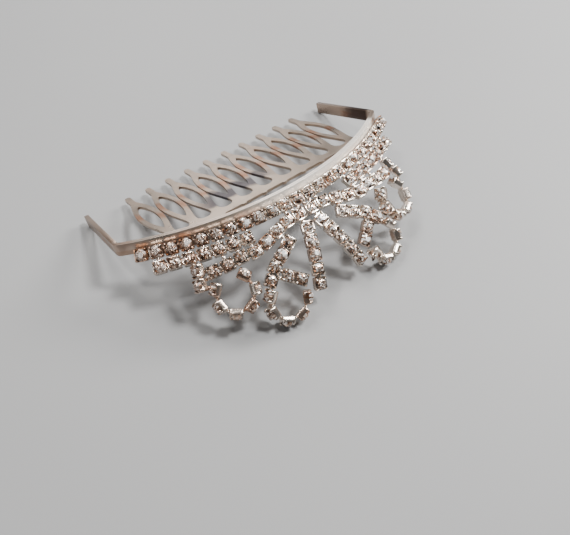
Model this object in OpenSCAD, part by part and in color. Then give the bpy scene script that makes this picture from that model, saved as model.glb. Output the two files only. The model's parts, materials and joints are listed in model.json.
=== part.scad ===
// Rhinestone tiara comb: a bowed flat band with two bent-back side prongs, a ten-tooth
// almond-loop comb soldered behind it, and cup-chain rows, sprays and rings in front.
// It lies as it was put down: prong tips at the back and the inner rings at the front
// touch the ground. Units are millimetres, +Z up, +Y to the back (the teeth).

/* [Band] */
// Radius of the bowed band, outer face
band_r = 68.5; // [62:0.5:90]
// Length of the bowed part on one side of the middle
band_half = 45.3; // [43:0.1:48]
// Width of the flat strip
strip_w = 3.2; // [3.2:0.1:4]
// Thickness of the flat strip
strip_t = 1.2; // [0.8:0.1:1.6]
// Outer radius of the corner where the strip turns back
bend_r = 2.2; // [1.8:0.1:4]
// Length of each side prong
prong_l = 25.2; // [18:0.1:30]
// Inward lean of each prong, degrees
prong_splay = 2; // [0:0.1:4]
// Droop of each prong, degrees
prong_droop = 4; // [2:0.1:9]

/* [Comb] */
// Number of teeth
tooth_n = 10; // [8:1:10]
// Distance between teeth
tooth_pitch = 6.5; // [6.2:0.05:6.6]
// Sheet thickness of the comb
comb_t = 0.8; // [0.6:0.1:0.8]
// Depth of the comb's upper face under the band's top edge
comb_drop = 2.3; // [1.5:0.1:2.4]
// Distance from the band's crown to the front edge of the spine
spine_y = 7.9; // [7.5:0.1:8.1]
// Width of the spine up to the scallops between the teeth
spine_w = 2.5; // [2.3:0.1:3.2]
// Distance from the spine's front edge to the tooth tips
comb_l = 33; // [30:0.1:34]
// Width of a tooth's loop
loop_w = 6.1; // [5:0.1:6.15]
// Width of the wire-like edges of a loop
loop_edge = 1.25; // [1:0.05:1.7]
// Width of a tooth's tip
tip_w = 1.7; // [1.2:0.1:2.2]

/* [Cup chain] */
// Distance between stones along a chain
chain_pitch = 3.7; // [3.65:0.05:4.2]
// Side of a square cup
cup_w = 3.25; // [2.8:0.05:3.3]
// Height of a cup
cup_h = 1.9; // [1.6:0.1:2.3]
// Diameter of a stone
stone_d = 2.7; // [2.2:0.05:2.75]
// Height of a stone's table above the cup's back
stone_top = 2.45; // [2.2:0.05:2.8]
// Clearance round a stone in its cup
stone_gap = 0.12; // [0.1:0.01:0.2]
// Width of the links between cups
link_w = 1.2; // [0.8:0.1:1.6]
// Clearance between soldered neighbours
seat_gap = 0.1; // [0.08:0.01:0.2]
// Number of stones in the row on the band
row_n = 24; // [18:1:24]
// Shift of that row to the right, as a share of the distance between stones
row_shift = 0.5; // [0:0.1:0.5]
// Lean of the row on the band, degrees from upright
row_lean = 35; // [30:1:45]

/* [Ornament] */
// Radius of the ornament's curve from the band to its lower edge
prof_r = 35.8; // [32:0.1:40]
// Slope of the ornament where it leaves the band, degrees
prof_drop = 30; // [27:0.5:33]
// Stones that would fill a ring
ring_n = 7; // [7:1:8]
// Upward lean of a ring's stones, degrees
ring_lean = 20; // [0:1:21]
// Upward lean of the two stones beside each outer ring, degrees
drop_lean = 40; // [35:1:50]
// Distance from the middle to each outer ring
ring_out_s = 22.4; // [22.3:0.1:23]
// Distance down the ornament to each outer ring
ring_out_h = 17.1; // [17.1:0.1:18]
// Distance from the middle to each inner ring
ring_in_s = 13; // [13:0.1:13.2]
// Distance down the ornament to each inner ring
ring_in_h = 23.8; // [23.8:0.1:25]

/* [View] */
// Piece to draw

/* [Hidden] */
$fn = 64;

silver = [0.80, 0.77, 0.74];
crystal = [0.92, 0.94, 0.97];

// Half angle of the bow, and the middle of the corner where the strip turns back.
bow = band_half / band_r * 180 / PI;
turn = 90 - bow + prong_splay;
bend_x = (band_r - bend_r) * sin(bow);
bend_y = band_r - (band_r - bend_r) * cos(bow);

// The ornament's section is an arc of radius prof_r through the face of the stones.
stone_rise = stone_top - 0.45;
back_r = prof_r - stone_rise;
prof_out = 0.7 - prof_r * sin(prof_drop);
prof_z = -1.6 - prof_r * cos(prof_drop);
deg_h = 180 / PI / prof_r;
deg_s = 180 / PI / band_r;
ring_r = cup_w / 2 / tan(180 / ring_n) + cup_w / 2 * sin(ring_lean) + 0.02;

// Chain routes on the right half: [distance from the middle, distance down, lift].
ROUTES = [
    // end_row: from the lone end stone inwards
    [[36.3, 5.5, 0], [32.9, 5.35, 0], [29.45, 5.35, 0], [26.0, 5.35, 0],
     [22.55, 5.35, 0], [19.1, 5.35, 0], [15.65, 5.35, 0]],
    // swag: from the middle out to the top of the outer ring
    [[1.85, 5.38, 0], [5.33, 5.58, 0], [8.72, 6.74, 0], [12.0, 8.15, 0],
     [15.3, 9.27, 0], [18.62, 9.22, 0], [21.87, 9.92, 0], [25.2, 10.27, 0]],
    // spray: from the swag to where the two rings meet
    [[7.79, 10.62, 0], [10.3, 12.67, 0], [12.81, 14.67, 0], [14.7, 17.46, 0]],
    // centre_drop: from the swag to the side of the inner ring
    [[1.96, 9.47, 0], [2.86, 12.97, 0], [3.76, 16.42, 0], [4.6, 20.0, 0], [5.4, 23.6, 0]],
    // bridge: across the top of the inner ring
    [[10.98, 18.04, 0], [8.7, 20.27, 0]],
    // end_drop: the outward scallop beside the outer ring
    [[27.75, 9.14, 1], [28.08, 12.64, 1]]
];

// A point on the ornament, its three directions, and the same for the row on the band.
function bow_pt(a, o, z) = [(band_r + o) * sin(a), band_r - (band_r + o) * cos(a), z];
function lie(p) = let (a = p[0] * deg_s, d = prof_drop + p[1] * deg_h, r = back_r + p[2])
    bow_pt(a, prof_out + r * sin(d), prof_z + r * cos(d));
function along(p) = let (a = p[0] * deg_s) [cos(a), sin(a), 0];
function down(p) = let (a = p[0] * deg_s, d = prof_drop + p[1] * deg_h)
    [sin(a) * cos(d), -cos(a) * cos(d), -sin(d)];
function face(p) = let (a = p[0] * deg_s, d = prof_drop + p[1] * deg_h)
    [sin(a) * sin(d), -cos(a) * sin(d), cos(d)];
function unit(v) = v / norm(v);
function level(v, n) = unit(v - (v * n) * n);

// Places of a chain: [point, direction of the chain, direction that the stone faces].
function route_places(r) = let (n = len(r)) [for (i = [0:n - 1])
    let (f = face(r[i])) [lie(r[i]), level(lie(r[min(i + 1, n - 1)]) - lie(r[max(i - 1, 0)]), f), f]];

// Places of a chain on edge, its stones facing out along the band and up.
function edge_places(r) = let (n = len(r)) [for (i = [0:n - 1])
    let (f = along(r[i]) * cos(drop_lean) + face(r[i]) * sin(drop_lean))
    [lie(r[i]), level(lie(r[min(i + 1, n - 1)]) - lie(r[max(i - 1, 0)]), f), f]];

// Places of a ring: cups on edge round the point c, the stones facing outwards and up.
// It is left open at the top, where the chains above it close it.
function ring_places(c, turned, first) = let (o = lie([c[0], c[1], cup_h / 2]))
    [for (i = [first:ring_n - 5]) let (q = turned + i * 360 / ring_n,
    u = along(c) * sin(q) + down(c) * cos(q)) [o + u * ring_r, unit(cross(face(c), u)),
    u * cos(ring_lean) + face(c) * sin(ring_lean)]];

// Places of the row on the band: the cups' upper back edges rest against its outer face.
row_face = [cos(row_lean), sin(row_lean)];
row_o = seat_gap + cup_w / 2 * sin(row_lean);
row_z = -strip_w / 2 - 1.75;
row_deg = chain_pitch / (band_r + row_o) * 180 / PI;
row_places = [for (i = [0:row_n - 1]) let (a = (i - (row_n - 1) / 2 + row_shift) * row_deg)
    [bow_pt(a, row_o, row_z), [cos(a), sin(a), 0],
     [sin(a) * row_face[0], -cos(a) * row_face[0], row_face[1]]]];

outer_c = [ring_out_s, ring_out_h];
inner_c = [ring_in_s, ring_in_h];
outer_places = ring_places(outer_c, 18, -3);
inner_places = ring_places(inner_c, 180 / ring_n, -2);

// Resting pose: the plane under the prong tips and the lowest corners of the inner rings.
tip_in = prong_l - 0.3;
tip_y = bend_y + bend_r * sin(prong_splay)
    + cos(prong_splay) * (tip_in * cos(prong_droop) - strip_w / 2 * sin(prong_droop));
tip_top_y = bend_y + bend_r * sin(prong_splay)
    + cos(prong_splay) * (tip_in * cos(prong_droop) + strip_w / 2 * sin(prong_droop));
tip_z = -strip_w / 2 - tip_in * sin(prong_droop) - strip_w / 2 * cos(prong_droop);
tip_top_z = tip_z + strip_w * cos(prong_droop);
low_pts = concat([for (p = inner_places, i = [-1, 1], j = [-1, 1])
        p[0] + p[2] * cup_h + p[1] * i * cup_w / 2 + cross(p[2], p[1]) * j * cup_w / 2],
    [for (p = inner_places, q = [0:45:315])
        p[0] + p[2] * stone_top + (p[1] * cos(q) + cross(p[2], p[1]) * sin(q)) * stone_d * 0.28]);
rest = atan(max([for (p = low_pts) (tip_z - p[2]) / (tip_y - p[1])]));
rest_z = tip_y * sin(rest) - tip_z * cos(rest);
front_y = min([for (p = low_pts) p[1] * cos(rest) + p[2] * sin(rest)]);
back_y = max(tip_y * cos(rest) + tip_z * sin(rest), tip_top_y * cos(rest) + tip_top_z * sin(rest));
rest_y = -(front_y + back_y) / 2;
row_ends = [for (p = [row_places[0], row_places[row_n - 1]], i = [-1, 1], j = [-1, 1])
    p[0][0] + p[2][0] * cup_h + p[1][0] * i * cup_w / 2 + cross(p[2], p[1])[0] * j * cup_w / 2];
band_end = bend_x + max(bend_r, bend_r * cos(prong_splay)
    + (0.3 * cos(prong_droop) + strip_w / 2 * sin(prong_droop)) * sin(prong_splay));
rest_x = -(max(concat([band_end], row_ends)) + min(concat([-band_end], row_ends))) / 2;

// Lays a piece in the resting pose, with the part's box in the middle.
module at_rest() {
    translate([rest_x, rest_y, rest_z]) rotate([-rest, 0, 0]) children();
}

// The same for the left half's copy of a piece.
module at_left() {
    at_rest() mirror([1, 0, 0]) children();
}

// One cup: a square shell with a round pocket, drawn with its back on z = 0.
module cup() {
    difference() {
        translate([-cup_w / 2, -cup_w / 2, 0]) cube([cup_w, cup_w, cup_h]);
        translate([0, 0, 0.65]) cylinder(d = stone_d + 2 * stone_gap, h = cup_h);
    }
}

// One cut stone: table, eight crown facets, a girdle and eight short pavilion facets.
module stone() {
    translate([0, 0, 0.65 + stone_gap]) cylinder(d1 = stone_d * 0.6, d2 = stone_d,
        h = cup_h - 0.95 - stone_gap, $fn = 8);
    translate([0, 0, cup_h - 0.3]) cylinder(d1 = stone_d, d2 = stone_d * 0.56,
        h = stone_top - cup_h + 0.3, $fn = 8);
}

module seat(p) {
    y = cross(p[2], p[1]);
    multmatrix([[p[1][0], y[0], p[2][0], p[0][0]], [p[1][1], y[1], p[2][1], p[0][1]],
        [p[1][2], y[2], p[2][2], p[0][2]]]) children();
}

// A bar from the back of one cup to the back of the next.
module link(a, b) {
    x = unit(b[0] - a[0]);
    z = level(a[2] + b[2], x);
    seat([a[0] + z * 0.12, x, z]) translate([0.8, -link_w / 2, 0])
        cube([norm(b[0] - a[0]) - 1.6, link_w, 0.42]);
}

// A cup chain through its places, with its stones.
module chain(places) {
    color(silver) union() {
        for (p = places) seat(p) cup();
        for (i = [1:len(places) - 1]) link(places[i - 1], places[i]);
    }
    color(crystal) for (p = places) seat(p) stone();
}

// Half width of a tooth and of its almond hole at a share t of its length.
function tooth_half(t) = tip_w / 2 + 0.35 * (1 - t)
    + (loop_w / 2 - tip_w / 2 - 0.15) * sin(180 * pow(t, 1.12));
function hole_half(t) = (loop_w / 2 - loop_edge) * pow(sin(180 * pow(t, 1.12)), 0.7);

// One tooth, drawn from the spine's front edge at y = 0: an almond loop and a round tip.
module tooth() {
    y0 = spine_w + 2.6;
    y1 = comb_l - 4.8;
    h0 = y0 + 2.9;
    h1 = y1 - 3.4;
    n = 22;
    difference() {
        union() {
            polygon(concat([for (i = [0:n]) [tooth_half(i / n), y0 + (y1 - y0) * i / n]],
                [for (i = [n:-1:0]) [-tooth_half(i / n), y0 + (y1 - y0) * i / n]]));
            translate([-tip_w / 2 - 0.35, spine_w - 0.6]) square([tip_w + 0.7, 3.8]);
            translate([-tip_w / 2, y1 - 0.1]) square([tip_w, comb_l - tip_w / 2 - y1 + 0.1]);
            translate([0, comb_l - tip_w / 2]) circle(d = tip_w);
        }
        polygon(concat([for (i = [0:n]) [hole_half(i / n), h0 + (h1 - h0) * i / n]],
            [for (i = [n - 1:-1:1]) [-hole_half(i / n), h0 + (h1 - h0) * i / n]]));
    }
}

// The stamped comb: a straight spine with scallops and small bumps, and the teeth.
module comb() {
    gap_w = tooth_pitch - tip_w - 0.7;
    half = (tooth_n - 1) / 2;
    translate([0, 0, -comb_drop - comb_t]) linear_extrude(comb_t) {
        for (i = [0:tooth_n - 1]) translate([(i - half) * tooth_pitch, spine_y]) tooth();
        intersection() {
            difference() {
                union() {
                    translate([-half * tooth_pitch - 6.5, spine_y])
                        square([2 * half * tooth_pitch + 13, spine_w]);
                    translate([-half * tooth_pitch, spine_y])
                        square([2 * half * tooth_pitch, spine_w + gap_w / 2]);
                    for (i = [0:tooth_n - 1]) translate([(i - half) * tooth_pitch, spine_y + 0.45])
                        circle(d = 1.8);
                }
                for (i = [0:tooth_n - 2]) translate([(i - half + 0.5) * tooth_pitch,
                    spine_y + spine_w + gap_w / 2]) circle(d = gap_w);
            }
            translate([0, band_r]) circle(r = band_r - strip_t / 2, $fn = 180);
        }
    }
}

// The band's strip: bow, corner and prong.
module strip_side() {
    translate([bend_x, bend_y, -strip_w]) rotate([0, 0, bow - 90])
        rotate_extrude(angle = turn) translate([bend_r - strip_t, 0]) square([strip_t, strip_w]);
    translate([bend_x, bend_y, -strip_w + 0.1]) rotate([0, 0, bow - 90])
        translate([bend_r - strip_t + 0.1, -0.35, 0]) cube([strip_t - 0.2, 0.7, strip_w - 0.2]);
    translate([bend_x, bend_y, -strip_w / 2]) rotate([0, 0, prong_splay])
        translate([bend_r - strip_t, 0, 0]) rotate([-prong_droop, 0, 0])
            translate([0, -0.3, -strip_w / 2]) cube([strip_t, prong_l, strip_w]);
}

module comb_frame() {
    color(silver) union() {
        translate([0, band_r, -strip_w]) rotate([0, 0, -90 - bow])
            rotate_extrude(angle = 2 * bow, $fn = 180)
                translate([band_r - strip_t, 0]) square([strip_t, strip_w]);
        strip_side();
        mirror([1, 0, 0]) strip_side();
        comb();
    }
}

module band_row() {
    chain(row_places);
}

module end_row() {
    chain(route_places(ROUTES[0]));
}

module swag() {
    chain(route_places(ROUTES[1]));
}

module spray() {
    chain(route_places(ROUTES[2]));
}

module centre_drop() {
    chain(route_places(ROUTES[3]));
}

module bridge() {
    chain(route_places(ROUTES[4]));
}

module end_drop() {
    chain(edge_places(ROUTES[5]));
}

module outer_ring() {
    chain(outer_places);
}

module inner_ring() {
    chain(inner_places);
}

at_rest() comb_frame();
at_rest() band_row();
at_left() end_row();  // end_row_left
at_rest() end_row();  // end_row_right
at_left() swag();  // swag_left
at_rest() swag();  // swag_right
at_left() spray();  // spray_left
at_rest() spray();  // spray_right
at_left() centre_drop();  // centre_drop_left
at_rest() centre_drop();  // centre_drop_right
at_left() bridge();  // bridge_left
at_rest() bridge();  // bridge_right
at_left() end_drop();  // end_drop_left
at_rest() end_drop();  // end_drop_right
at_left() outer_ring();  // outer_ring_left
at_rest() outer_ring();  // outer_ring_right
at_left() inner_ring();  // inner_ring_left
at_rest() inner_ring();  // inner_ring_right
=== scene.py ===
"""Rhinestone tiara comb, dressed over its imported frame.

Sizes are millimetres in the classes and metres in Blender. Points are worked out in the
band's own frame (top edge of the band at z = 0, +Y towards the teeth) and then laid in the
resting pose, as the part's source does it.
"""
from __future__ import annotations

import json
import logging
from dataclasses import dataclass, field
from enum import Enum
from math import atan, cos, pi, radians, sin, sqrt, tan, tau
from typing import Any, Sequence

import bmesh
import bpy
from bpy.types import Material, Mesh, Node, NodeSocket as Socket, NodeTree, Object
from mathutils import Matrix, Quaternion, Vector

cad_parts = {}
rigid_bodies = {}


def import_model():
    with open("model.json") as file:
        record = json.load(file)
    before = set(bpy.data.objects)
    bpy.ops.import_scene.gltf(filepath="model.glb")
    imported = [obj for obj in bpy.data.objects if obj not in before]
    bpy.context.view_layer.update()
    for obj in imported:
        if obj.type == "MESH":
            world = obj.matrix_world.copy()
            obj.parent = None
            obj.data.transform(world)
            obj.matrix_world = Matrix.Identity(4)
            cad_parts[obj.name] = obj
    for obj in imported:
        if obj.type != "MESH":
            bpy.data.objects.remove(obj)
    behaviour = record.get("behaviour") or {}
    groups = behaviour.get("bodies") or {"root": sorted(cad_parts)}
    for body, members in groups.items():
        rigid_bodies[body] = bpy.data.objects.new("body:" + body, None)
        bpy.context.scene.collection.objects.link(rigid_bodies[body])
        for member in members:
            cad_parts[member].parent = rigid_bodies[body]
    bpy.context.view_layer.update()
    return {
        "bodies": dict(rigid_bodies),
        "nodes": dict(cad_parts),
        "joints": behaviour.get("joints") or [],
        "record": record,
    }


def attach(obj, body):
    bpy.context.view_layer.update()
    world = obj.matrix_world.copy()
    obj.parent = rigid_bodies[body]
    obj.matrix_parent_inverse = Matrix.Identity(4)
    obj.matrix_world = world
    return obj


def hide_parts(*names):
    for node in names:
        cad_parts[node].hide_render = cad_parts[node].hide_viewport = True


Colour = tuple[float, float, float, float]

LOG = logging.getLogger("tiara_comb")
MM = 0.001
BODY = "root"


class Slot(Enum):
    """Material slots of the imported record."""

    FRAME = "silver_frame"
    CHAIN = "silver_and_stones"


class Kind(Enum):
    """What stands at a point of a chain's route."""

    CUP = 0
    LINK = 1
    SOLDER = 2


# Shape of the tiara comb.


@dataclass(frozen=True)
class Band:
    """Bowed strip, its corners and its side prongs, in millimetres and degrees."""

    radius: float = 68.5
    half: float = 45.3
    width: float = 3.2
    corner: float = 2.2
    prong: float = 25.2
    prong_start: float = -0.3
    splay: float = 2.0
    droop: float = 4.0

    @property
    def bow(self) -> float:
        """Half angle of the bow, in radians."""
        return self.half / self.radius

    def point(self, angle: float, out: float, z: float) -> Vector:
        """A point by its angle along the bow, its distance outwards and its height.

        Args:
            angle: angle from the middle, in radians.
            out: distance outwards from the band's outer face.
            z: height over the band's top edge.

        Returns:
            The point in the band's frame.
        """
        r = self.radius + out
        return Vector((r * sin(angle), self.radius - r * cos(angle), z))


@dataclass(frozen=True)
class CupSize:
    """Stock sizes of the cup chain, in millimetres."""

    pitch: float = 3.7
    side: float = 3.25
    height: float = 1.9
    stone: float = 2.7
    stone_top: float = 2.45
    stone_foot: float = 0.8
    stone_low: float = 0.04
    stone_grow: float = 0.18
    table_share: float = 0.28
    seat_gap: float = 0.1
    chain_link: float = 1.9
    ring_link: float = 2.7
    link_start: float = 0.9
    link_lap: float = 0.22
    link_lift: float = 0.06
    link_height: float = 0.55


@dataclass(frozen=True)
class Seat:
    """Place of one cup: middle of its back, run of the chain, and the way its stone faces."""

    at: Vector
    run: Vector
    face: Vector

    @property
    def side(self) -> Vector:
        """Direction across the chain."""
        return self.face.cross(self.run)

    def rim(self, cup: CupSize) -> list[Vector]:
        """The cup's four upper corners."""
        return [self.at + self.face * cup.height
                + (self.run * i + self.side * j) * cup.side / 2
                for i in (-1, 1) for j in (-1, 1)]


@dataclass(frozen=True)
class Ornament:
    """The curved face that the chains lie on."""

    band: Band = Band()
    cup: CupSize = CupSize()
    curve: float = 35.8
    drop: float = 30.0
    start_out: float = 0.7
    start_z: float = -1.6
    sunk: float = 0.45
    ring_count: int = 7
    ring_last: int = 2
    ring_gap: float = 0.02
    ring_lean: float = 20.0
    drop_lean: float = 40.0
    drop_lift: float = 1.0
    row_count: int = 24
    row_shift: float = 0.5
    row_lean: float = 35.0
    row_z: float = -1.75

    @property
    def back(self) -> float:
        """Radius of the face that the cups' backs lie on."""
        return self.curve - (self.cup.stone_top - self.sunk)

    def angles(self, s: float, h: float) -> tuple[float, float]:
        """Angle along the bow and slope of the face, in radians, at s along and h down."""
        return s / self.band.radius, radians(self.drop) + h / self.curve

    def lie(self, s: float, h: float, lift: float = 0.0) -> Vector:
        """The point at s along the band, h down the face and lift above the cups' backs."""
        a, d = self.angles(s, h)
        tilt = radians(self.drop)
        out = self.start_out - self.curve * sin(tilt)
        z = self.start_z - self.curve * cos(tilt)
        r = self.back + lift
        return self.band.point(a, out + r * sin(d), z + r * cos(d))

    def axes(self, s: float, h: float) -> tuple[Vector, Vector, Vector]:
        """Directions along the band, down the face and out of it."""
        a, d = self.angles(s, h)
        along = Vector((cos(a), sin(a), 0))
        down = Vector((sin(a) * cos(d), -cos(a) * cos(d), -sin(d)))
        face = Vector((sin(a) * sin(d), -cos(a) * sin(d), cos(d)))
        return along, down, face

    def route(self, points: Sequence[tuple[float, float]], on_edge: bool) -> list[Seat]:
        """Seats of a chain that lies along a route.

        Args:
            points: (s, h) of each cup.
            on_edge: whether the stones face out along the band and up, and not off the face.

        Returns:
            One seat for each point.
        """
        spots = [self.lie(*p, self.drop_lift if on_edge else 0.0) for p in points]
        lean = radians(self.drop_lean)
        seats = []
        for i, (p, spot) in enumerate(zip(points, spots)):
            along, _, face = self.axes(*p)
            if on_edge:
                face = along * cos(lean) + face * sin(lean)
            run = spots[min(i + 1, len(spots) - 1)] - spots[max(i - 1, 0)]
            seats.append(Seat(spot, (run - face * run.dot(face)).normalized(), face))
        return seats

    def ring(self, s: float, h: float, turned: float, first: int) -> list[Seat]:
        """Seats of an open ring of cups on edge, their stones facing outwards and up.

        Args:
            s: distance of its middle along the band.
            h: distance of its middle down the face.
            turned: angle of the ring, in degrees.
            first: number of the first cup, counted from the lowest one.

        Returns:
            One seat for each cup, in order round the ring.
        """
        along, down, face = self.axes(s, h)
        centre = self.lie(s, h, self.cup.height / 2)
        lean = radians(self.ring_lean)
        half = self.cup.side / 2
        radius = half / tan(pi / self.ring_count) + half * sin(lean) + self.ring_gap
        seats = []
        for i in range(first, self.ring_last + 1):
            q = radians(turned) + i * tau / self.ring_count
            out = along * sin(q) + down * cos(q)
            seats.append(Seat(centre + out * radius, face.cross(out).normalized(),
                              out * cos(lean) + face * sin(lean)))
        return seats

    def row(self) -> list[Seat]:
        """Seats of the row that leans against the band's outer face."""
        lean = radians(self.row_lean)
        out = self.cup.seat_gap + self.cup.side / 2 * sin(lean)
        z = -self.band.width / 2 + self.row_z
        step = self.cup.pitch / (self.band.radius + out)
        seats = []
        for i in range(self.row_count):
            a = (i - (self.row_count - 1) / 2 + self.row_shift) * step
            face = Vector((sin(a) * cos(lean), -cos(a) * cos(lean), sin(lean)))
            seats.append(Seat(self.band.point(a, out, z), Vector((cos(a), sin(a), 0)), face))
        return seats


@dataclass(frozen=True)
class Resting:
    """The resting pose: how the band's frame is laid on the floor."""

    turn: float
    x: float
    y: float
    z: float

    @classmethod
    def of(cls, ornament: Ornament, rings: Sequence[Seat], row: Sequence[Seat]) -> "Resting":
        """Finds the pose that puts the part on the floor, in the middle of its own box.

        Args:
            ornament: the face that the chains lie on.
            rings: seats of an inner ring; its lowest corner touches the floor.
            row: seats of the row, which may stand out past the band at its ends.

        Returns:
            The pose on the prong tips and the inner rings.
        """
        band, cup = ornament.band, ornament.cup
        splay, droop = radians(band.splay), radians(band.droop)
        bend_y = band.radius - (band.radius - band.corner) * cos(band.bow)
        reach, half = band.prong + band.prong_start, band.width / 2
        foot = bend_y + band.corner * sin(splay)
        tip_y = foot + cos(splay) * (reach * cos(droop) - half * sin(droop))
        top_y = foot + cos(splay) * (reach * cos(droop) + half * sin(droop))
        tip_z = -half - reach * sin(droop) - half * cos(droop)
        top_z = tip_z + band.width * cos(droop)
        low = []
        for seat in rings:
            low += seat.rim(cup)
            for q in (k * pi / 4 for k in range(8)):
                low.append(seat.at + seat.face * cup.stone_top
                           + (seat.run * cos(q) + seat.side * sin(q))
                           * cup.stone * cup.table_share)
        turn = atan(max((tip_z - p.z) / (tip_y - p.y) for p in low))
        c, s = cos(turn), sin(turn)
        front = min(p.y * c + p.z * s for p in low)
        back = max(tip_y * c + tip_z * s, top_y * c + top_z * s)
        end = max(band.corner, band.corner * cos(splay)
                  + (half * sin(droop) - band.prong_start * cos(droop)) * sin(splay))
        end += (band.radius - band.corner) * sin(band.bow)
        wide = [end, -end] + [p.x for seat in (row[0], row[-1]) for p in seat.rim(cup)]
        return cls(turn, -(max(wide) + min(wide)) / 2, -(front + back) / 2,
                   tip_y * s - tip_z * c)

    def matrix(self) -> Matrix:
        """Takes a point in millimetres in the band's frame to metres on the floor."""
        return (Matrix.Scale(MM, 4) @ Matrix.Translation((self.x, self.y, self.z))
                @ Matrix.Rotation(-self.turn, 4, "X"))


# Nodes and materials.


class Bench:
    """Lays nodes in one tree and wires them."""

    def __init__(self, tree: NodeTree) -> None:
        """Starts on a tree, with its own nodes kept."""
        self.tree = tree

    def put(self, kind: str, *values: Any, **settings: Any) -> Node:
        """Adds a node.

        Args:
            kind: type of the node.
            values: what its first inputs get, in order.
            settings: a name with a capital is an input, any other an attribute.

        Returns:
            The node.
        """
        node = self.tree.nodes.new(kind)
        for name, value in settings.items():
            if name[0].islower():
                setattr(node, name, value)
        for value, socket in zip(values, node.inputs):
            self.wire(value, socket)
        self.feed(node, **{name: v for name, v in settings.items() if name[0].isupper()})
        return node

    def feed(self, node: Node, **values: Any) -> None:
        """Feeds a node's named inputs; an underscore stands for a space."""
        for name, value in values.items():
            self.wire(value, node.inputs[name.replace("_", " ")])

    def wire(self, value: Any, socket: Socket) -> None:
        """Feeds a socket from another socket, or sets it to a plain value."""
        if isinstance(value, Socket):
            self.tree.links.new(value, socket)
        elif value is not None:
            socket.default_value = value

    def sum(self, operation: str, *values: Any, clamp: bool = False) -> Socket:
        """A Math node on sockets or numbers, and its result."""
        node = self.put("ShaderNodeMath", *values, operation=operation, use_clamp=clamp)
        return node.outputs[0]

    def times(self, first: Any, *others: Any) -> Socket:
        """The product of sockets or numbers."""
        for other in others:
            first = self.sum("MULTIPLY", first, other)
        return first

    def length(self, x: Any, y: Any) -> Socket:
        """The length of a flat vector."""
        return self.sum("SQRT", self.sum("ADD", self.times(x, x), self.times(y, y)))

    def vector(self, operation: str, *values: Any, **settings: Any) -> Any:
        """A Vector Math node on sockets or vectors, and its outputs."""
        return self.put("ShaderNodeVectorMath", *values, operation=operation,
                        **settings).outputs

    def join(self, *values: Any, **settings: Any) -> Socket:
        """A vector from its numbers."""
        return self.put("ShaderNodeCombineXYZ", *values, **settings).outputs[0]

    def step(self, value: Any, low: float, high: float,
             to: tuple[float, float] = (0.0, 1.0)) -> Socket:
        """A smooth step of a value from low to high, as a number between the two of to."""
        return self.put("ShaderNodeMapRange", value, low, high, *to,
                        interpolation_type="SMOOTHSTEP").outputs[0]

    def between(self, value: Any, low: float, first: float, last: float,
                high: float) -> Socket:
        """1 from first to last, with soft ends that reach 0 at low and at high."""
        return self.times(self.step(value, low, first), self.step(value, high, last))

    def mix(self, share: Any, first: Any, second: Any) -> Socket:
        """A colour between two others."""
        node = self.put("ShaderNodeMix", share, data_type="RGBA")
        self.wire(first, node.inputs[6])
        self.wire(second, node.inputs[7])
        return node.outputs[2]

    def noise(self, where: Any, scale: float, detail: float = 3.0,
              rough: float = 0.55) -> Socket:
        """A noise value on a place."""
        return self.put("ShaderNodeTexNoise", Vector=where, Scale=scale, Detail=detail,
                        Roughness=rough).outputs["Fac"]

    def bump(self, height: Any, strength: float, distance: float) -> Socket:
        """A normal from a height."""
        return self.put("ShaderNodeBump", Strength=strength, Distance=distance,
                        Height=height).outputs[0]

    def place(self) -> Socket:
        """The Object coordinates."""
        return self.put("ShaderNodeTexCoord").outputs["Object"]

    def own(self, name: str, output: str) -> Socket:
        """The mesh's own attribute, by name."""
        return self.put("ShaderNodeAttribute", attribute_name=name).outputs[output]

    def group(self, tree: NodeTree, **values: Any) -> Any:
        """Places a shader group with its own values, and gives its outputs."""
        return self.put("ShaderNodeGroup", node_tree=tree, **values).outputs


def new_group(name: str, kind: str, inputs: Sequence[tuple[str, str, Any]],
              outputs: Sequence[tuple[str, str]]) -> tuple[NodeTree, Bench, Any, Any]:
    """Makes a node group with named sockets.

    Args:
        name: name of the group.
        kind: tree type, shader or geometry.
        inputs: name, socket type and default of each input.
        outputs: name and socket type of each output.

    Returns:
        The tree, a bench on it, its inputs and its output node.
    """
    tree = bpy.data.node_groups.new(name, kind)
    for label, socket, value in inputs:
        item = tree.interface.new_socket(label, in_out="INPUT", socket_type=socket)
        if value is not None:
            item.default_value = value
    for label, socket in outputs:
        tree.interface.new_socket(label, in_out="OUTPUT", socket_type=socket)
    bench = Bench(tree)
    return tree, bench, bench.put("NodeGroupInput").outputs, bench.put("NodeGroupOutput")


FLOAT, VECTOR = "NodeSocketFloat", "NodeSocketVector"


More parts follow.
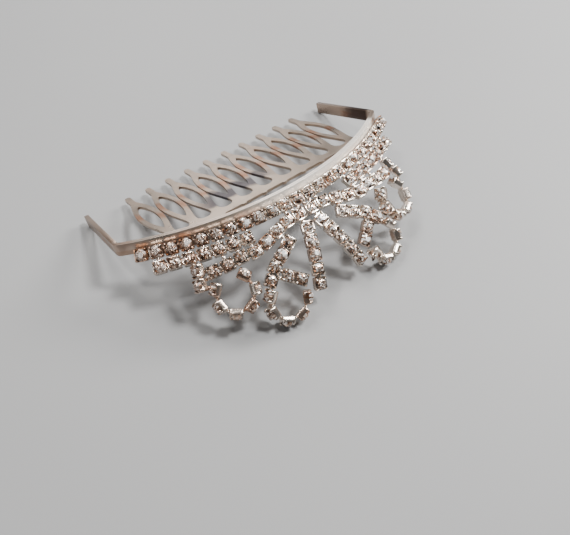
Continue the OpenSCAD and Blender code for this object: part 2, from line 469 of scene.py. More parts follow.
@dataclass
class Effects:
    """Shader groups that more than one finish uses."""

    resting: Resting
    band: Band = Band()
    tooth_pitch: float = 6.5
    # scales of the noises
    cloud: float = 160.0
    spots: float = 420.0
    grain: float = 2600.0
    # the chains are painted darker, as shade, between these two places on the left half
    left_shade_span: tuple[float, float] = (-8.0, -34.0)

    def __post_init__(self) -> None:
        """Makes the groups."""
        self.wear, self.places = self.make_wear(), self.make_places()

    def make_wear(self) -> NodeTree:
        """Clouded and rubbed plating: masks of wear and stain, and a fine grain."""
        tree, pen, get, out = new_group(
            "plating_wear", "ShaderNodeTree",
            [("Vector", VECTOR, None), ("Size", FLOAT, 1.0), ("Rubbed", FLOAT, 0.4),
             ("Stained", FLOAT, 0.3)],
            [("Rub", FLOAT), ("Stain", FLOAT), ("Cloud", FLOAT), ("Grain", FLOAT)])
        place = pen.vector("SCALE", get["Vector"], Scale=get["Size"])[0]
        cloud = pen.noise(place, self.cloud)
        spots = pen.noise(place, self.spots, 4.0, 0.65)
        pen.feed(out, Rub=pen.times(pen.step(cloud, 0.52, 0.68), get["Rubbed"]),
                 Stain=pen.times(pen.step(spots, 0.56, 0.72), get["Stained"]),
                 Cloud=cloud, Grain=pen.noise(place, self.grain, 3.0, 0.6))
        return tree

    def make_places(self) -> NodeTree:
        """Where a point lies on the band or comb, in millimetres, from Object coordinates."""
        tree, pen, get, out = new_group(
            "band_places", "ShaderNodeTree", [("Vector", VECTOR, None)],
            [(n, FLOAT) for n in ("Depth", "Drop", "Along", "Back", "Across", "Side")])
        lay = pen.put("ShaderNodeMapping", vector_type="POINT", Vector=get["Vector"],
                      Location=self.resting.matrix().inverted().to_translation(),
                      Rotation=(self.resting.turn, 0, 0), Scale=(1 / MM, 1 / MM, 1 / MM))
        x, y, z = pen.put("ShaderNodeSeparateXYZ", lay.outputs[0]).outputs
        from_centre = pen.sum("SUBTRACT", self.band.radius, y)
        tooth = pen.sum("FLOORED_MODULO", x, self.tooth_pitch)
        pen.feed(out, Back=y, Side=x, Drop=pen.times(z, -1.0),
                 Depth=pen.sum("SUBTRACT", self.band.radius, pen.length(x, from_centre)),
                 Along=pen.times(pen.sum("ARCTAN2", x, from_centre), self.band.radius),
                 Across=pen.sum("SUBTRACT", tooth, self.tooth_pitch / 2))
        return tree


def principled(name: str) -> tuple[Material, Bench, Node]:
    """A new material with its bench and its Principled shader."""
    material = bpy.data.materials.new(name)
    material.use_nodes = True
    shader = next(n for n in material.node_tree.nodes if n.type == "BSDF_PRINCIPLED")
    return material, Bench(material.node_tree), shader


@dataclass(frozen=True)
class CombPlate:
    """Satin silver plating of the band and comb, copper-brown on the loops, with a painted
    highlight along the band.
    """

    silver: Colour = (0.45, 0.365, 0.30, 1)
    bright: Colour = (0.94, 0.88, 0.81, 1)
    aged: Colour = (0.30, 0.205, 0.15, 1)
    copper: Colour = (0.37, 0.18, 0.105, 1)
    tarnish_and_reflection: Colour = (0.050, 0.028, 0.020, 1)
    slate: Colour = (0.058, 0.054, 0.068, 1)
    line: Colour = (0.30, 0.15, 0.09, 1)
    band: Band = Band()

    def marks_and_painted_light(self, pen: Bench, wear: Any, spot: Any) -> dict[str, Socket]:
        """Where each tone shows, painted highlight and painted reflection among them, as masks in
        millimetres along, down and behind the band.

        Args:
            pen: bench of the material.
            wear: outputs of the wear group.
            spot: outputs of the places group.

        Returns:
            The masks by name.
        """
        back, drop, along, side = (spot[n] for n in ("Back", "Drop", "Along", "Side"))
        comb = pen.step(drop, 1.7, 2.2)
        cloud = pen.times(pen.sum("SUBTRACT", wear["Cloud"], 0.5), 9.0)
        root = pen.sum("ADD", back, cloud)
        lean, slope = (pen.sum("ADD", root, pen.times(spot["Across"], k)) for k in (0.9, 0.5))
        splay = tan(radians(self.band.splay))
        inner = pen.sum("ADD", side, pen.times(pen.sum("SUBTRACT", back, 17.0), splay))
        return {
            # a painted highlight on the band, strongest in the middle and to the right
            "rim": pen.times(pen.step(along, -24.0, 6.0, (0.22, 1.0)),
                             pen.sum("SUBTRACT", 1.0, comb), pen.step(along, 43.0, 39.0)),
            "prong": pen.times(pen.step(back, 16.4, 18.0),
                               pen.step(pen.sum("ABSOLUTE", side), 37.5, 38.5)),
            # copper half way along each loop, slate where the left teeth start
            "brown": pen.times(pen.between(lean, 20.4, 24.0, 24.8, 28.4), comb),
            "dark": pen.times(pen.between(slope, 12.0, 14.6, 18.6, 21.4),
                              pen.between(along, -27.0, -18.0, 0.0, 9.0), comb),
            # the fine line along the band's top edge
            "seam": pen.times(pen.between(spot["Depth"], 0.42, 0.50, 0.62, 0.72),
                              pen.step(drop, 0.35, 0.2), pen.step(along, 26.0, 6.0, (0.25, 1.0))),
            # a dark patch on the inner face of the right prong, partly tarnish and partly a
            # painted reflection of dark surroundings
            "tarnish_and_reflection": pen.times(pen.step(back, 16.8, 18.2), pen.step(root, 29.5, 24.0),
                               pen.step(inner, 43.2, 42.9), pen.step(side, 37.5, 38.5)),
            "end": pen.times(pen.step(along, -40.0, -43.0), pen.step(back, 20.0, 16.0)),
        }

    def build(self, effects: Effects) -> Material:
        """Makes the material."""
        material, pen, shader = principled("comb_plate")
        at = pen.place()
        wear = pen.group(effects.wear, Vector=at, Size=0.8, Rubbed=0.55, Stained=0.35)
        mask = self.marks_and_painted_light(pen, wear, pen.group(effects.places, Vector=at))
        tone: Any = self.silver
        # the rim mask paints a highlight on the band
        for where, share, colour in (
                (wear["Rub"], 0.3, self.copper), (mask["rim"], 0.85, self.bright),
                (mask["prong"], 0.75, self.aged), (mask["brown"], 0.85, self.copper),
                (mask["dark"], 0.9, self.slate), (mask["seam"], 0.7, self.line),
                # the dark prong patch is partly tarnish, partly a painted reflection
                (mask["tarnish_and_reflection"], 0.97, self.tarnish_and_reflection), (mask["end"], 0.35, self.copper),
                (wear["Stain"], 0.4, self.slate)):
            tone = pen.mix(pen.times(where, share), tone, colour)
        rough = pen.step(wear["Cloud"], 0.3, 0.7, (0.27, 0.42))
        # where the highlight is painted, the band is also less metallic and smoother
        pen.feed(shader, Base_Color=tone, Metallic=pen.step(mask["rim"], 0.0, 1.0, (1.0, 0.35)),
                 Roughness=pen.sum("SUBTRACT", rough, pen.times(mask["rim"], 0.10)),
                 Normal=pen.bump(wear["Grain"], 0.35, 0.06 * MM))
        return material


@dataclass(frozen=True)
class CupPlate:
    """Brighter plating of the cups and links, brown in places, and painted darker as shade on the
    left half.
    """

    silver: Colour = (0.86, 0.77, 0.68, 1)
    copper: Colour = (0.40, 0.20, 0.11, 1)
    shade: Colour = (0.20, 0.15, 0.13, 1)

    def build(self, effects: Effects) -> Material:
        """Makes the material."""
        material, pen, shader = principled("cup_plate")
        at = pen.place()
        wear = pen.group(effects.wear, Vector=at, Size=1.6, Rubbed=0.9, Stained=0.6)
        side = pen.group(effects.places, Vector=at)["Side"]
        # random browning of some cups, plus painted shade that darkens the left half
        browned_and_left_shade = pen.sum("ADD", pen.step(pen.own("tone", "Fac"), 0.62, 0.95),
                          pen.step(side, *effects.left_shade_span, (0.0, 0.5)))
        share = pen.sum("MULTIPLY", pen.sum("ADD", wear["Rub"], browned_and_left_shade), 0.55, clamp=True)
        tone = pen.mix(wear["Stain"], pen.mix(share, self.silver, self.copper), self.shade)
        pen.feed(shader, Base_Color=tone, Metallic=1.0,
                 Roughness=pen.step(wear["Cloud"], 0.3, 0.7, (0.14, 0.30)),
                 Normal=pen.bump(wear["Grain"], 0.4, 0.08 * MM))
        return material


@dataclass(frozen=True)
class Crystal:
    """Clear foiled stone: its inner cut is painted as wedges of light and dark, painted
    reflections with white painted highlights.
    """

    stone_width: float = 2.7
    tilt: float = 0.75
    # the painted glint on a few tables: where, how far it reaches and for which tones
    flash_at: tuple[float, float, float] = (0.10, -0.06, 1.0)
    flash_reach: tuple[float, float] = (0.23, 0.20)
    flash_tone: tuple[float, float] = (0.86, 0.87)
    # tint of the painted shade on the stones of the left half
    left_shade_tint: Colour = (0.42, 0.25, 0.17, 1)
    # colours of the inner cut, darkest first: painted reflections, the white one a painted
    # highlight
    tones: tuple[tuple[float, Colour], ...] = (
        (0.0, (0.022, 0.013, 0.010, 1)), (0.12, (0.23, 0.115, 0.065, 1)),
        (0.32, (0.58, 0.38, 0.27, 1)), (0.55, (0.86, 0.71, 0.59, 1)),
        (0.78, (1.0, 0.985, 0.965, 1)))

    def facets(self) -> NodeTree:
        """The stone's inner cut as random values and slopes, one for each wedge."""
        tree, pen, get, out = new_group(
            "inner_cut", "ShaderNodeTree",
            [("Vector", VECTOR, None), ("Tone", FLOAT, 0.0), ("Wedges", FLOAT, 16.0),
             ("Steps", FLOAT, 8.0)],
            [("Light", FLOAT), ("Slope", FLOAT)])
        x, y, _ = pen.put("ShaderNodeSeparateXYZ", get["Vector"]).outputs
        turn = pen.sum("DIVIDE", pen.sum("ARCTAN2", y, x), tau)
        ring = pen.sum("FLOOR", pen.times(pen.length(x, y), get["Steps"]))
        wedge = pen.sum("ADD", pen.times(turn, get["Wedges"]), pen.times(ring, 0.5))
        cell = pen.join(pen.sum("FLOOR", wedge), ring, pen.times(get["Tone"], 97.0))
        chance = pen.put("ShaderNodeTexWhiteNoise", noise_dimensions="3D", Vector=cell).outputs
        lean = pen.vector("SUBTRACT", chance["Color"], (0.5, 0.5, 0.5))[0]
        pen.feed(out, Light=chance["Value"],
                 Slope=pen.vector("DOT_PRODUCT", lean, get["Vector"])["Value"])
        return tree

    def build(self, effects: Effects) -> Material:
        """Makes the material."""
        material, pen, shader = principled("crystal")
        side = pen.group(effects.places, Vector=pen.place())["Side"]
        where, tone = pen.own("cut_at", "Vector"), pen.own("tone", "Fac")
        cut = pen.group(self.facets(), Vector=where, Tone=tone)
        # the cut's light and dark are painted reflections and painted highlights
        light = pen.sum("ADD", cut["Light"], pen.step(tone, 0.3, 1.0, (-0.06, 0.05)))
        # a painted glint on the tables of a few stones
        away = pen.vector("DISTANCE", where, self.flash_at)["Value"]
        flash = pen.times(pen.step(tone, *self.flash_tone), pen.step(away, *self.flash_reach))
        light = pen.sum("MAXIMUM", light, flash)
        ramp = pen.put("ShaderNodeValToRGB", light)
        ramp.color_ramp.interpolation = "CONSTANT"
        marks = ramp.color_ramp.elements
        for mark, (position, colour) in zip(marks, self.tones):
            mark.position, mark.color = position, colour
        for position, colour in self.tones[2:]:
            marks.new(position).color = colour
        # painted shade: the stones grow darker and warmer towards the left
        dim = pen.step(side, *effects.left_shade_span, (0.0, 0.45))
        pen.feed(shader, Base_Color=pen.mix(dim, ramp.outputs[0], self.left_shade_tint),
                 Metallic=pen.step(light, 0.74, 0.82, (0.8, 0.1)), Roughness=0.10,
                 Coat_Weight=0.5, Coat_Roughness=0.02, IOR=1.6,
                 Normal=pen.bump(cut["Slope"], 1.0, self.stone_width * MM * self.tilt))
        return material


# Patterns for one cup.


def linked(name: str, data: Any) -> Object:
    """A new object on its data, linked to the scene."""
    obj = bpy.data.objects.new(name, data)
    bpy.context.scene.collection.objects.link(obj)
    return obj


def mesh_object(name: str, bm: bmesh.types.BMesh) -> Object:
    """Turns a bmesh into an object."""
    mesh = bpy.data.meshes.new(name)
    bm.to_mesh(mesh)
    bm.free()
    return linked(name, mesh)


def baked(obj: Object) -> Mesh:
    """The object's plain mesh after its one modifier, which is taken off."""
    graph = bpy.context.evaluated_depsgraph_get()
    made = bpy.data.meshes.new_from_object(obj.evaluated_get(graph),
                                           preserve_all_data_layers=True, depsgraph=graph)
    obj.modifiers.remove(obj.modifiers[0])
    return made


def declare(obj: Object, node: str) -> None:
    """Attaches a finished piece to the body it rides on and hides the CAD node that it replaces.
    """
    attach(obj, BODY)
    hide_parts(node)
    LOG.info("%s: %d faces", obj.name, len(obj.data.polygons))


def loft(name: str, rings: Sequence[Sequence[Vector]]) -> Object:
    """An object of closed rings joined with faces, with both ends capped."""
    bm = bmesh.new()
    rows = [[bm.verts.new(p) for p in ring] for ring in rings]
    for low, high in zip(rows, rows[1:]):
        for i, corner in enumerate(low):
            j = (i + 1) % len(low)
            bm.faces.new((corner, low[j], high[j], high[i]))
    bm.faces.new(list(reversed(rows[0])))
    bm.faces.new(rows[-1])
    bmesh.ops.recalc_face_normals(bm, faces=bm.faces)
    return mesh_object(name, bm)


@dataclass(frozen=True)
class CupPattern:
    """A square cup of side 1 and height 1: a shell with a claw at each corner."""

    corner: float = 0.11
    claw: float = 0.06
    # inset at the sides, inset at the corners, height at the sides, height at the claws
    levels: tuple[tuple[float, float, float, float], ...] = (
        (0.90, 0.90, 0.00, 0.00), (1.00, 1.00, 0.09, 0.09), (1.00, 1.00, 0.66, 0.84),
        (0.98, 0.88, 0.72, 1.08), (0.88, 0.72, 0.72, 1.13), (0.82, 0.78, 0.60, 0.92),
        (0.80, 0.78, 0.42, 0.42))

    def outline(self) -> list[tuple[Vector, float]]:
        """Twenty points round the square, each with its share of claw."""
        c, low, high = self.corner, 0.12, 0.85
        bend = c * (1 - sqrt(0.5))
        side = [(0.5, 0.0, 0.0), (0.5, 0.5 - c - self.claw, low), (0.5, 0.5 - c, high),
                (0.5 - bend, 0.5 - bend, 1.0), (0.5 - c, 0.5, high),
                (0.5 - c - self.claw, 0.5, low)]
        turns = [Matrix.Rotation(k * pi / 2, 3, "Z") for k in range(4)]
        return [(turn @ Vector((x, y, 0)), claw) for turn in turns for x, y, claw in side]

    def build(self) -> Object:
        """Makes the cup's mesh."""
        return loft("cup_pattern", [
            [point * (side_in + (claw_in - side_in) * claw)
             + Vector((0, 0, side_z + (claw_z - side_z) * claw))
             for point, claw in self.outline()]
            for side_in, claw_in, side_z, claw_z in self.levels])


@dataclass(frozen=True)
class StonePattern:
    """A cut stone 1 across and 1 high, with table, star, kite and girdle facets."""

    table: float = 0.275
    star: float = 0.395
    star_z: float = 0.79
    girdle_z: tuple[float, float] = (0.36, 0.44)
    foot: float = 0.30

    def build(self) -> Object:
        """Makes the stone's mesh and keeps each corner's own place as cut_at."""
        bm = bmesh.new()

        def circle(radius: float, z: float, count: int, start: float) -> list[Any]:
            """Corners on a circle."""
            turns = (start + k * tau / count for k in range(count))
            return [bm.verts.new((radius * cos(q), radius * sin(q), z)) for q in turns]

        half = pi / 8
        table = circle(self.table, 1.0, 8, half)
        star = circle(self.star, self.star_z, 8, 0.0)
        upper = circle(0.5, self.girdle_z[1], 16, 0.0)
        lower = circle(0.5, self.girdle_z[0], 16, 0.0)
        foot = circle(self.foot, 0.0, 8, half)
        bm.faces.new(table)
        bm.faces.new(list(reversed(foot)))
        for k in range(8):
            n, left, mid, right = (k + 1) % 8, 2 * k - 1, 2 * k, 2 * k + 1
            middle, after = lower[(2 * k + 2) % 16], lower[(2 * k + 3) % 16]
            for corners in ((table[k], star[n], table[n]),
                            (table[k], star[k], upper[right], star[n]),
                            (star[k], upper[mid], upper[right]),
                            (star[k], upper[left], upper[mid]),
                            (foot[k], middle, lower[right]), (foot[k], foot[n], middle),
                            (foot[n], after, middle)):
                bm.faces.new(corners)
        for j in range(16):
            i = (j + 1) % 16
            bm.faces.new((lower[j], lower[i], upper[i], upper[j]))
        bmesh.ops.recalc_face_normals(bm, faces=bm.faces)
        obj = mesh_object("stone_pattern", bm)
        own = obj.data.attributes.new("cut_at", "FLOAT_VECTOR", "POINT")
        for vert in obj.data.vertices:
            own.data[vert.index].vector = vert.co
        return obj


@dataclass(frozen=True)
class LinkPattern:
    """A link 1 long, 1 wide and 1 high, waisted in the middle."""

    waist: float = 0.78
    middle: float = 0.22
    round: float = 0.62

    def build(self) -> Object:
        """Makes the link's mesh."""
        turns = [pi / 8 + k * pi / 4 for k in range(8)]
        outline = [[max(-0.5, min(0.5, self.round * v)) for v in (cos(q), sin(q))]
                   for q in turns]
        ends = ((-0.5, 1.0), (-self.middle, self.waist), (self.middle, self.waist), (0.5, 1.0))
        return loft("link_pattern", [[Vector((x, y * wide, 0.5 + z)) for y, z in outline]
                                     for x, wide in ends])


def solder_pattern() -> Object:
    """A drop of solder 1 across."""
    bm = bmesh.new()
    bmesh.ops.create_icosphere(bm, subdivisions=2, radius=0.5)
    return mesh_object("solder_pattern", bm)


@dataclass
class ChainMaker:
    """The Geometry Nodes tree that sets cups, stones and links on a chain's route."""

    cup: CupSize
    plate: Material
    crystal: Material
    crease: float = 50.0
    stone_tip: float = 2.5
    tree: Any = None
    patterns: dict[str, Object] = field(default_factory=dict)

    def build(self) -> None:
        """Makes the patterns and the tree."""
        self.patterns = {"Cup": CupPattern().build(), "Stone": StonePattern().build(),
                         "Link": LinkPattern().build(), "Solder": solder_pattern()}
        for label in ("Cup", "Link", "Solder"):
            shape = self.patterns[label].data
            shape.polygons.foreach_set("use_smooth", [True] * len(shape.polygons))
            shape.set_sharp_from_angle(angle=radians(self.crease))
        lengths = ("Cup side", "Cup height", "Stone width", "Stone height", "Stone lift")
        inputs = {"Geometry": "NodeSocketGeometry",
                  **dict.fromkeys(self.patterns, "NodeSocketObject"),
                  **dict.fromkeys((*lengths, "Stone tilt"), FLOAT),
                  "Seed": "NodeSocketInt",
                  **dict.fromkeys(("Plate", "Crystal"), "NodeSocketMaterial")}
        self.tree, pen, get, out = new_group(
            "set_chain", "GeometryNodeTree",
            [(label, kind, None) for label, kind in inputs.items()],
            [("Geometry", "NodeSocketGeometry")])
        aim, kind, stretch = (
            pen.put("GeometryNodeInputNamedAttribute", data_type=data, Name=name).outputs[0]
            for name, data in (("aim", "QUATERNION"), ("kind", "INT"),
                               ("stretch", "FLOAT_VECTOR")))
        is_cup, is_link, is_solder = (
            pen.put("FunctionNodeCompare", None, None, kind, k.value, data_type="INT",
                    operation="EQUAL").outputs[0] for k in Kind)
        points = pen.put("GeometryNodeMeshToPoints", Mesh=get["Geometry"]).outputs[0]
        tone = self.chance(pen, get["Seed"], "FLOAT", 0.0, 1.0)
        points = pen.put("GeometryNodeStoreNamedAttribute", data_type="FLOAT", domain="POINT",
                         Geometry=points, Name="tone", Value=tone).outputs[0]
        cup_size = pen.join(get["Cup side"], get["Cup side"], get["Cup height"])
        stone_size = pen.join(get["Stone width"], get["Stone width"], get["Stone height"])
        metal = pen.put("GeometryNodeJoinGeometry")
        for label, chosen, size in (("Cup", is_cup, cup_size), ("Link", is_link, stretch),
                                    ("Solder", is_solder, stretch)):
            pen.wire(self.place(pen, points, chosen, get[label], aim, size), metal.inputs[0])
        lifted = self.lift(pen, points, aim, get["Stone lift"])
        turned = self.turn(pen, get["Seed"], aim, get["Stone tilt"])
        stones = self.place(pen, lifted, is_cup, get["Stone"], turned, stone_size)
        both = pen.put("GeometryNodeJoinGeometry")
        for part, finish in ((metal.outputs[0], get["Plate"]), (stones, get["Crystal"])):
            real = pen.put("GeometryNodeRealizeInstances", part).outputs[0]
            dressed = pen.put("GeometryNodeSetMaterial", Geometry=real, Material=finish)
            pen.wire(dressed.outputs[0], both.inputs[0])
        pen.feed(out, Geometry=both.outputs[0])

    @staticmethod
    def chance(pen: Bench, seed: Any, kind: str, low: Any, high: Any) -> Socket:
        """A random value for each point.

        Args:
            pen: bench of the tree.
            seed: the chain's own seed.
            kind: FLOAT or FLOAT_VECTOR.
            low: least value.
            high: largest value.

        Returns:
            The value.
        """
        node = pen.put("FunctionNodeRandomValue", data_type=kind, Seed=seed)
        first, result = {"FLOAT": (2, 1), "FLOAT_VECTOR": (0, 0)}[kind]
        pen.wire(low, node.inputs[first])
        pen.wire(high, node.inputs[first + 1])
        return node.outputs[result]

    @staticmethod
    def place(pen: Bench, points: Any, chosen: Any, pattern: Any, aim: Any,
              scale: Any) -> Socket:
        """Sets a pattern on the chosen points."""
        shape = pen.put("GeometryNodeObjectInfo", transform_space="ORIGINAL", Object=pattern)
        return pen.put("GeometryNodeInstanceOnPoints", Points=points, Selection=chosen,
                       Instance=shape.outputs["Geometry"], Rotation=aim,
                       Scale=scale).outputs[0]

    @staticmethod
    def lift(pen: Bench, points: Any, aim: Any, height: Any) -> Socket:
        """Moves points up their own axis, to the foot of the stone."""
        up = pen.put("FunctionNodeRotateVector", Vector=pen.join(Z=height), Rotation=aim)
        return pen.put("GeometryNodeSetPosition", Geometry=points,
                       Offset=up.outputs[0]).outputs[0]

    @classmethod
    def turn(cls, pen: Bench, seed: Any, aim: Any, tilt: Any) -> Socket:
        """Turns and slightly tips each stone in its cup."""
        less = pen.times(tilt, -1.0)
        angles = cls.chance(pen, seed, "FLOAT_VECTOR", pen.join(less, less),
                            pen.join(tilt, tilt, pi / 4))
        more = pen.put("FunctionNodeEulerToRotation", angles).outputs[0]
        return pen.put("FunctionNodeRotateRotation", rotation_space="LOCAL", Rotation=aim,
                       Rotate_By=more).outputs[0]

    def run(self, obj: Object, seed: int) -> None:
        """Bakes the tree on a route and leaves a plain mesh.

        Args:
            obj: the route, a mesh of points with aim, kind and stretch.
            seed: the chain's own seed.
        """
        cup = self.cup
        given = {
            **self.patterns, "Cup side": cup.side * MM, "Cup height": cup.height * MM,
            "Stone width": (cup.stone + cup.stone_grow) * MM,
            "Stone height": (cup.stone_top - cup.stone_foot - cup.stone_low) * MM,
            "Stone lift": cup.stone_foot * MM, "Stone tilt": radians(self.stone_tip),
            "Seed": seed, "Plate": self.plate, "Crystal": self.crystal,
        }
        maker = obj.modifiers.new("set_chain", "NODES")
        maker.node_group = self.tree
        for item in self.tree.interface.items_tree:
            if item.in_out == "INPUT" and item.name in given:
                maker[item.identifier] = given[item.name]
        obj.data = baked(obj)

    def clear(self) -> None:
        """Takes the patterns away."""
        for obj in self.patterns.values():
            bpy.data.objects.remove(obj)


@dataclass
class CupChain:
    """One chain of cups, and the node that it stands for."""

    node: str
    seats: list[Seat]
    joints: list[Seat] = field(default_factory=list)
    mirrored: bool = False
    seed: int = 1
    drop: tuple[float, float, float] = (1.5, 1.0, 0.7)

    def links(self, cup: CupSize, one: Seat, two: Seat) -> list[tuple[Seat, Kind, Vector]]:
        """The two halves of the link between neighbours, which meet at its corner.

        Args:
            cup: sizes of the chain.
            one: seat of the first cup.
            two: seat of the next one.

        Returns:
            Seat, kind and size of each half.
        """
        width = cup.ring_link if self.node.split("_")[1] == "ring" else cup.chain_link
        reach = (two.at - one.at).length / 2 / cos(one.run.angle(two.run) / 2)
        ahead = reach * (1 if one.run.dot(two.at - one.at) > 0 else -1)
        corner = (one.at + one.run * ahead + two.at - two.run * ahead) / 2
        size = Vector((reach - cup.link_start + cup.link_lap, width, cup.link_height)) * MM
        halves = []
        for seat in (one, two):
            run = (corner - seat.at).normalized()
            face = (seat.face - run * seat.face.dot(run)).normalized()
            middle = seat.at + run * (reach + cup.link_start) / 2 + face * cup.link_lift
            halves.append((Seat(middle, run, face), Kind.LINK, size))
        return halves

    def build(self, resting: Resting, maker: ChainMaker) -> None:
        """Makes the chain and says what it rides on and replaces.

        Args:
            resting: the pose that the chain is laid in.
            maker: the tree that sets the cups.
        """
        seats, joints = ([self.flip(s) if self.mirrored else s for s in group]
                         for group in (self.seats, self.joints))
        spots = [(seat, Kind.CUP, Vector((1, 1, 1))) for seat in seats]
        for one, two in zip(seats, seats[1:]):
            spots += self.links(maker.cup, one, two)
        spots += [(joint, Kind.SOLDER, Vector(self.drop) * MM) for joint in joints]
        lay, turn = resting.matrix(), Matrix.Rotation(-resting.turn, 3, "X")
        mesh = bpy.data.meshes.new(self.node + "_cups")
        mesh.from_pydata([tuple(lay @ seat.at) for seat, _, _ in spots], [], [])
        for label, data, key, values in (
                ("aim", "QUATERNION", "value", [x for s in spots for x in self.aim(turn, s[0])]),
                ("kind", "INT", "value", [kind.value for _, kind, _ in spots]),
                ("stretch", "FLOAT_VECTOR", "vector", [x for s in spots for x in s[2]])):
            mesh.attributes.new(label, data, "POINT")
            mesh.attributes[label].data.foreach_set(key, values)
        obj = linked(self.node + "_cups", mesh)
        maker.run(obj, self.seed)
        declare(obj, self.node)

    @staticmethod
    def aim(turn: Matrix, seat: Seat) -> Quaternion:
        """The turn that takes a pattern's axes to a seat's."""
        axes = Matrix((seat.run, seat.side, seat.face)).transposed()
        return (turn @ axes).to_quaternion()

    @staticmethod
    def flip(seat: Seat) -> Seat:
        """The same seat on the left half."""
        other = Matrix.Diagonal((-1, 1, 1))
        return Seat(other @ seat.at, -(other @ seat.run), other @ seat.face)


@dataclass
class CombFrame:
    """Band, prongs and comb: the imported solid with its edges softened."""

    node: str = "comb_frame"
    merge: float = 0.002
    flat: float = 0.6
    edge: float = 0.16
    steps: int = 2
    edge_angle: float = 38.0
    crease: float = 35.0
    level: float = 0.9995

    def build(self, frame: dict[str, Any], resting: Resting, finish: Material) -> None:
        """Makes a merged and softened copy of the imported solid.

        Args:
            resting: the pose, which gives the comb sheet's own slope.
            finish: the material of the metal.
        """
        source = frame["nodes"][self.node]
        bm = bmesh.new()
        bm.from_mesh(source.data)
        bmesh.ops.transform(bm, matrix=source.matrix_world, verts=bm.verts)
        bmesh.ops.remove_doubles(bm, verts=bm.verts, dist=self.merge * MM)
        bmesh.ops.dissolve_limit(bm, angle_limit=radians(self.flat), verts=bm.verts,
                                 edges=bm.edges)
        obj = mesh_object("comb_and_band", bm)
        obj.data.materials.append(finish)
        soft = obj.modifiers.new("soften", "BEVEL")
        soft.width, soft.segments = self.edge * MM, self.steps
        soft.limit_method, soft.angle_limit = "ANGLE", radians(self.edge_angle)
        soft.use_clamp_overlap = True
        obj.data = baked(obj)
        # the comb's sheet stays flat, so that it shades evenly
        sheet = Vector((0, sin(resting.turn), cos(resting.turn)))
        obj.data.set_sharp_from_angle(angle=radians(self.crease))
        obj.data.polygons.foreach_set("use_smooth", [
            abs(face.normal.dot(sheet)) < self.level for face in obj.data.polygons])
        declare(obj, self.node)


# The whole object.


@dataclass
class Tiara:
    """The tiara comb and its chains."""

    ornament: Ornament = Ornament()
    ring_out: tuple[float, float, float, int] = (22.4, 17.1, 18.0, -3)
    ring_in: tuple[float, float, float, int] = (13.0, 23.8, 180 / 7, -2)
    row_seed: int = 3
    halves: tuple[tuple[str, bool, int], ...] = (("_right", False, 11), ("_left", True, 31))
    # distance along the band and down the face of each cup
    routes: dict[str, list[tuple[float, float]]] = field(default_factory=lambda: {
        "end_row": [(36.3, 5.5), (32.9, 5.35), (29.45, 5.35), (26.0, 5.35), (22.55, 5.35),
                    (19.1, 5.35), (15.65, 5.35)],
        "swag": [(1.85, 5.38), (5.33, 5.58), (8.72, 6.74), (12.0, 8.15), (15.3, 9.27),
                 (18.62, 9.22), (21.87, 9.92), (25.2, 10.27)],
        "spray": [(7.79, 10.62), (10.3, 12.67), (12.81, 14.67), (14.7, 17.46)],
        "bridge": [(10.98, 18.04), (8.7, 20.27)],
        "centre_drop": [(1.96, 9.47), (2.86, 12.97), (3.76, 16.42), (4.6, 20.0), (5.4, 23.6)],
        "end_drop": [(27.75, 9.14), (28.08, 12.64)],
    })

    def seats(self) -> dict[str, list[Seat]]:
        """Seats of each chain of the right half, by name."""
        seats = {name: self.ornament.route(points, name == "end_drop")
                 for name, points in self.routes.items()}
        seats["outer_ring"] = self.ornament.ring(*self.ring_out)
        seats["inner_ring"] = self.ornament.ring(*self.ring_in)
        return seats

    @staticmethod
    def joints(seats: Sequence[Seat], others: Sequence[Seat], reach: float = 4.6,
               lift: float = 0.75) -> list[Seat]:
        """Solder drops where a chain's cups come close to the cups of others.

        Args:
            seats: the chain's own seats.
            others: seats of the chains that it is soldered to.
            reach: largest distance between two cups that are soldered, in millimetres.
            lift: height of a drop above the cups' backs, in millimetres.

        Returns:
            A seat for each drop, its run from cup to cup.
        """
        drops = []
        for one in seats:
            near = [o for o in others if (o.at - one.at).length < reach]
            for two in sorted(near, key=lambda o: (o.at - one.at).length)[:2]:
                face = (one.face + two.face).normalized()
                run = two.at - one.at
                run = (run - face * run.dot(face)).normalized()
                middle = (one.at + two.at + (one.face + two.face) * lift) / 2
                drops.append(Seat(middle, run, face))
        return drops

    def build(self, frame: dict[str, Any]) -> Resting:
        """Makes every piece.


        Returns:
            The resting pose, which the camera needs.
        """
        seats = self.seats()
        row = self.ornament.row()
        resting = Resting.of(self.ornament, seats["inner_ring"], row)
        effects = Effects(resting)
        CombFrame().build(frame, resting, CombPlate().build(effects))
        maker = ChainMaker(self.ornament.cup, CupPlate().build(effects), Crystal().build(effects))
        maker.build()
        CupChain("band_row", row, seed=self.row_seed).build(resting, maker)
        done = list(row)
        for i, (name, places) in enumerate(seats.items()):
            joints = self.joints(places, done)
            for side, mirrored, seed in self.halves:
                CupChain(name + side, places, joints, mirrored, seed + i).build(resting, maker)
            done += places
        maker.clear()
        return resting


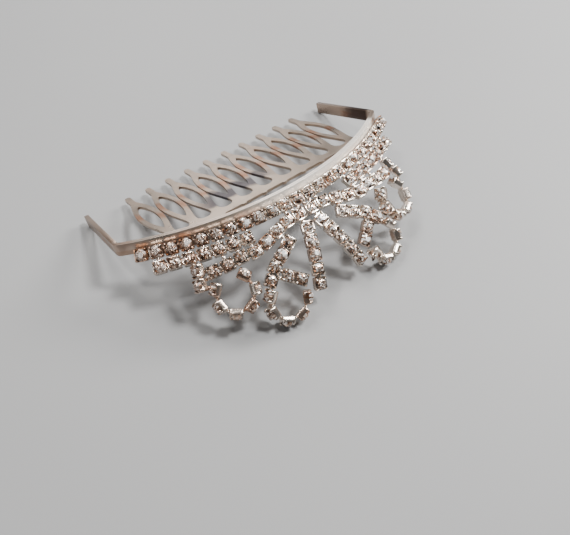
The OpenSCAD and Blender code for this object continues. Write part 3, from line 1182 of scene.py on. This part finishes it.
@dataclass(frozen=True)
class Studio:
    """Floor, soft light and camera."""

    rows: tuple[tuple[float, float, float], ...] = (
        (0.7893967, -0.5783220, -0.2059040),
        (-0.4813224, -0.3748967, -0.7923265),
        (0.3810270, 0.7245662, -0.5743015),
    )
    away: tuple[float, float, float] = (1.36990, -20.17095, 147.34434)
    focus: float = 590.0
    width: float = 570.0
    sensor: float = 36.0
    clip: tuple[float, float] = (0.005, 20.0)
    floor_size: float = 6.0
    floor_z: float = -0.00002
    floor_tones: tuple[Colour, Colour] = ((0.284, 0.284, 0.288, 1), (0.308, 0.308, 0.308, 1))
    room: Colour = (0.80, 0.80, 0.81, 1)
    room_light: float = 0.12

    def camera(self, resting: Resting) -> None:
        """Sets the camera at the photograph's viewing angle."""
        view = Matrix(self.rows) @ Matrix.Rotation(resting.turn, 3, "X")
        eye = Vector((resting.x, resting.y, resting.z)) - view.transposed() @ Vector(self.away)
        data = bpy.data.cameras.new("camera")
        data.sensor_fit = "HORIZONTAL"
        data.sensor_width = self.sensor
        data.lens = self.focus / self.width * self.sensor
        data.clip_start, data.clip_end = self.clip
        cam = linked("camera", data)
        axes = Matrix((view[0], -view[1], -view[2])).transposed()
        cam.matrix_world = Matrix.Translation(eye * MM) @ axes.to_4x4()
        bpy.context.scene.camera = cam

    def floor(self) -> None:
        """A plain pale floor."""
        bpy.ops.mesh.primitive_plane_add(size=self.floor_size, location=(0, 0, self.floor_z))
        plane = bpy.context.object
        plane.name = "floor"
        material, pen, shader = principled("pale_floor")
        cloud = pen.noise(pen.place(), 9.0, 2.0)
        pen.feed(shader, Roughness=0.6, Specular_IOR_Level=0.25,
                 Base_Color=pen.mix(cloud, *self.floor_tones))
        plane.data.materials.append(material)

    def light(self) -> None:
        """Soft lights, with two small ones that make the stones sparkle."""
        lamps = (
            ("key", (0.44, -0.06, 0.27), 0.20, 3.6, (1.0, 0.985, 0.96)),
            ("back", (0.04, 0.36, 0.48), 0.24, 2.4, (1.0, 0.99, 0.98)),
            ("sheen", (0.18, 0.49, 0.17), 0.20, 0.4, (1.0, 0.985, 0.96)),
            ("fill", (-0.42, -0.05, 0.36), 0.20, 0.25, (0.98, 0.99, 1.0)),
            ("glint_a", (0.22, -0.09, 0.44), 0.10, 3.0, (1.0, 1.0, 1.0)),
            ("glint_b", (-0.15, 0.16, 0.45), 0.06, 0.8, (1.0, 0.98, 0.95)),
        )
        for name, where, size, power, colour in lamps:
            data = bpy.data.lights.new(name, "AREA")
            data.shape, data.size, data.energy, data.color = "DISK", size, power, colour
            lamp = linked(name, data)
            lamp.location = where
            lamp.rotation_euler = (-Vector(where)).to_track_quat("-Z", "Y").to_euler()
        world = bpy.context.scene.world or bpy.data.worlds.new("room")
        bpy.context.scene.world = world
        world.use_nodes = True
        back = next(n for n in world.node_tree.nodes if n.type == "BACKGROUND")
        back.inputs["Color"].default_value = self.room
        back.inputs["Strength"].default_value = self.room_light


def main() -> None:
    """Builds the tiara comb, its floor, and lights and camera."""
    logging.basicConfig(level=logging.INFO, format="%(name)s: %(message)s")
    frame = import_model()
    resting = Tiara().build(frame)
    studio = Studio()
    studio.floor()
    studio.light()
    studio.camera(resting)


if __name__ == "__main__":
    main()
